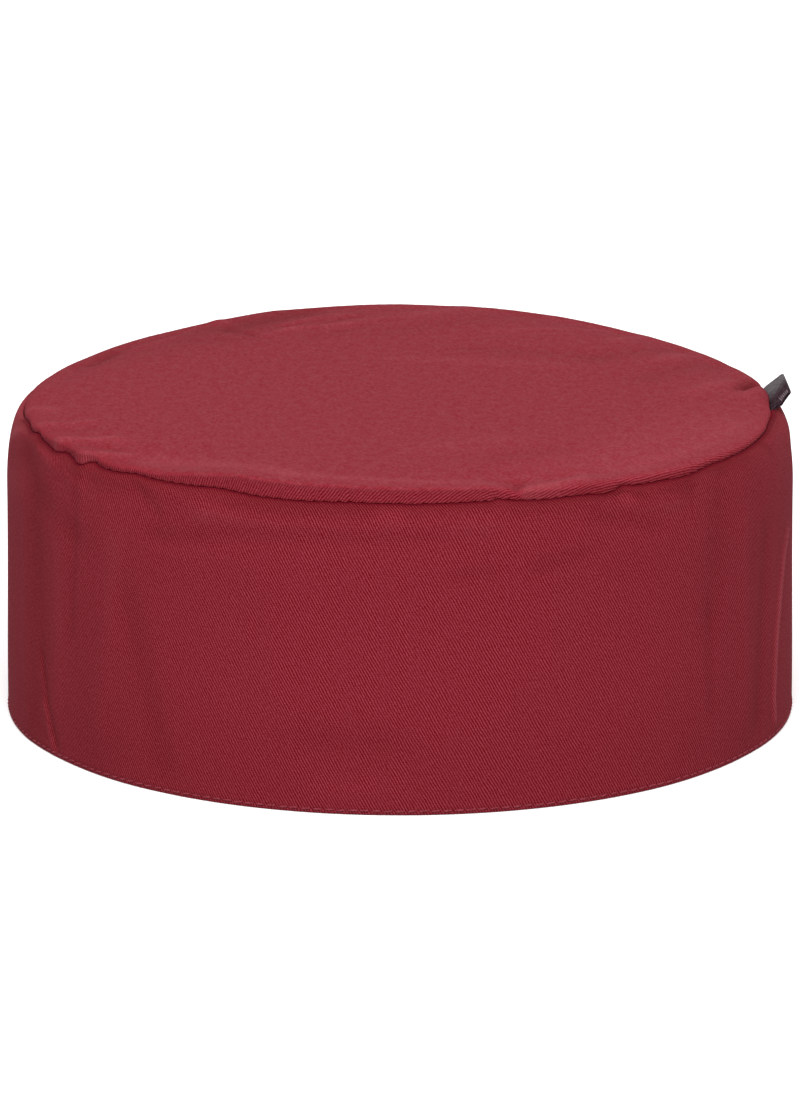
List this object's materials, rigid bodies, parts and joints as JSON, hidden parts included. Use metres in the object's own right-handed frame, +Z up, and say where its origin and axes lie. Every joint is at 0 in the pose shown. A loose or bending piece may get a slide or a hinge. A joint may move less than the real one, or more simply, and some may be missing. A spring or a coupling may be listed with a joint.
{
  "type": "chef hat",
  "caption": "Low flat-topped pillbox chef hat in burgundy twill: a round crown seamed to a tall side band with a topstitched hem, and a small folded side label.",
  "frame": {"origin": "centre of the folded hem that the hat stands on, at the height of the surface under it", "axes": "+Z up from the hem to the crown, -Y to the front of the hat, +X to the side that carries the label"},
  "size_m": [0.196, 0.1958, 0.0809],
  "materials": {
    "twill": "burgundy twill with a fine diagonal weave and a faint sheen",
    "label_weave": "plain dark grey woven satin ribbon"
  },
  "bodies": {
    "root": {"crown_top": "twill", "side_band": "twill", "loop_label": "label_weave"}
  },
  "joints": []
}
